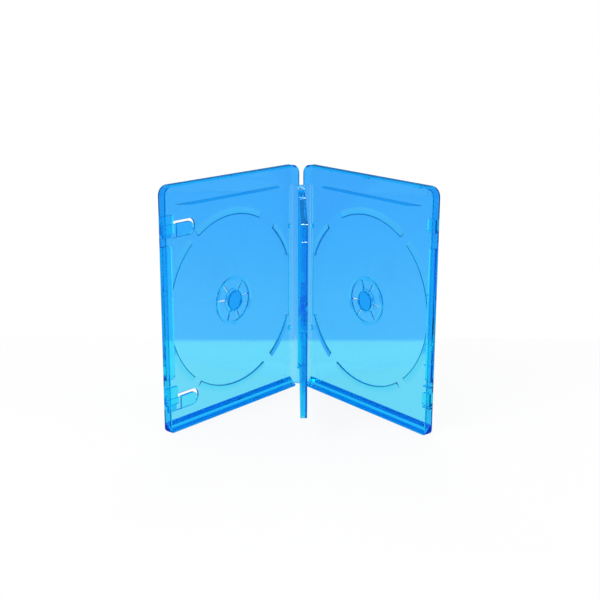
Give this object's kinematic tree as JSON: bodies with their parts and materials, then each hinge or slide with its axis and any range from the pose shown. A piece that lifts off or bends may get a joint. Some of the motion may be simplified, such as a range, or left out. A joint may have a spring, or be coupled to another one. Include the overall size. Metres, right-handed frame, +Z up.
{
  "type": "optical disc case",
  "caption": "See-through blue plastic keep case for optical discs, standing open on its end, with hinged covers, a swing-out tray and press-to-release disc hubs.",
  "frame": {"origin": "foot of the spine, midway between the two hinge lines, on the surface the case stands on", "axes": "+Z up along the spine, +X towards the back cover, and the case opens towards -Y"},
  "size_m": [0.1838, 0.1307, 0.1715],
  "materials": {
    "cover_plastic": "clear blue polypropylene, moulded smooth",
    "tray_plastic": "clear blue polypropylene, moulded smooth"
  },
  "bodies": {
    "spine": {"spine": "cover_plastic"},
    "front_cover": {"front_cover": "cover_plastic"},
    "back_cover": {"back_cover": "cover_plastic"},
    "swing_tray": {"swing_tray": "tray_plastic"},
    "front_hub_button": {"front_hub_button": "cover_plastic"},
    "back_hub_button": {"back_hub_button": "cover_plastic"},
    "tray_hub_button": {"tray_hub_button": "tray_plastic"}
  },
  "joints": [
    {"name": "front_hinge", "type": "hinge", "parent": "spine", "child": "front_cover", "pos_m": [-0.0067, 0, 0], "axis": [0, 0, 1], "range_deg": [-49, 41]},
    {"name": "back_hinge", "type": "hinge", "parent": "spine", "child": "back_cover", "pos_m": [0.0067, 0, 0], "axis": [0, 0, 1], "range_deg": [-38, 52]},
    {"name": "tray_swing", "type": "hinge", "parent": "spine", "child": "swing_tray", "pos_m": [0, -0.0042, 0], "axis": [0, 0, 1], "range_deg": [-40, 37]},
    {"name": "front_press", "type": "slide", "parent": "front_cover", "child": "front_hub_button", "axis": [-0.7547, 0.6561, 0], "range_m": [0, 0.001], "stiffness_N_per_m": 3000},
    {"name": "back_press", "type": "slide", "parent": "back_cover", "child": "back_hub_button", "axis": [0.788, 0.6157, 0], "range_m": [0, 0.001], "stiffness_N_per_m": 3000},
    {"name": "tray_press", "type": "slide", "parent": "swing_tray", "child": "tray_hub_button", "axis": [1, 0, 0], "range_m": [0, 0.001], "stiffness_N_per_m": 3000}
  ]
}
